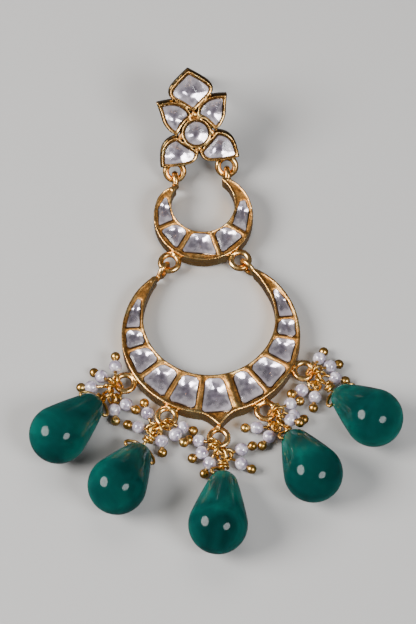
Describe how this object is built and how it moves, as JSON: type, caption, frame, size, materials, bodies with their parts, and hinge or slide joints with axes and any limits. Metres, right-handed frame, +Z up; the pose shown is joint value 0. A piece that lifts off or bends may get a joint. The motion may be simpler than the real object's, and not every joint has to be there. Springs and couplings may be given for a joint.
{
  "type": "dangle earring",
  "caption": "Long dangle earring with a stone-set flower, two stone-set crescents, clusters of seed pearls and smooth green stone drops, lying flat on its back.",
  "frame": {"origin": "centre of the bounding box, on the table that the earring lies on", "axes": "+Y up the earring from its drops to its flower, +X across it, +Z up from the table"},
  "size_m": [0.0604, 0.0926, 0.0149],
  "materials": {
    "gold": "warm antique gold plating, darker in its recesses",
    "clear_stone": "foil-backed clear cut glass with a flat table",
    "pearl": "off-white seed pearls with a faint lilac lustre",
    "green_stone": "polished translucent deep green stone"
  },
  "bodies": {
    "root": {"top_setting": "gold", "ear_post": "gold", "top_stone_1": "clear_stone", "top_stone_2": "clear_stone", "top_stone_3": "clear_stone", "top_stone_4": "clear_stone", "top_stone_5": "clear_stone", "top_stone_6": "clear_stone", "small_crescent": "gold", "small_stone_1": "clear_stone", "small_stone_2": "clear_stone", "small_stone_3": "clear_stone", "small_stone_4": "clear_stone", "small_stone_5": "clear_stone", "large_crescent": "gold", "large_stone_1": "clear_stone", "large_stone_2": "clear_stone", "large_stone_3": "clear_stone", "large_stone_4": "clear_stone", "large_stone_5": "clear_stone", "large_stone_6": "clear_stone", "large_stone_7": "clear_stone", "large_stone_8": "clear_stone", "large_stone_9": "clear_stone", "large_stone_10": "clear_stone", "large_stone_11": "clear_stone", "jump_ring_1": "gold", "jump_ring_2": "gold", "jump_ring_3": "gold", "jump_ring_4": "gold", "jump_ring_5": "gold", "pearl_pins_1": "gold", "pearl_pins_2": "gold", "pearl_pins_3": "gold", "pearl_pins_4": "gold", "pearl_pins_5": "gold", "pearls_1": "pearl", "pearls_2": "pearl", "pearls_3": "pearl", "pearls_4": "pearl", "pearls_5": "pearl", "drop_wire_1": "gold", "drop_wire_2": "gold", "drop_wire_3": "gold", "drop_wire_4": "gold", "drop_wire_5": "gold", "drop_1": "green_stone", "drop_2": "green_stone", "drop_3": "green_stone", "drop_4": "green_stone", "drop_5": "green_stone"}
  },
  "joints": []
}
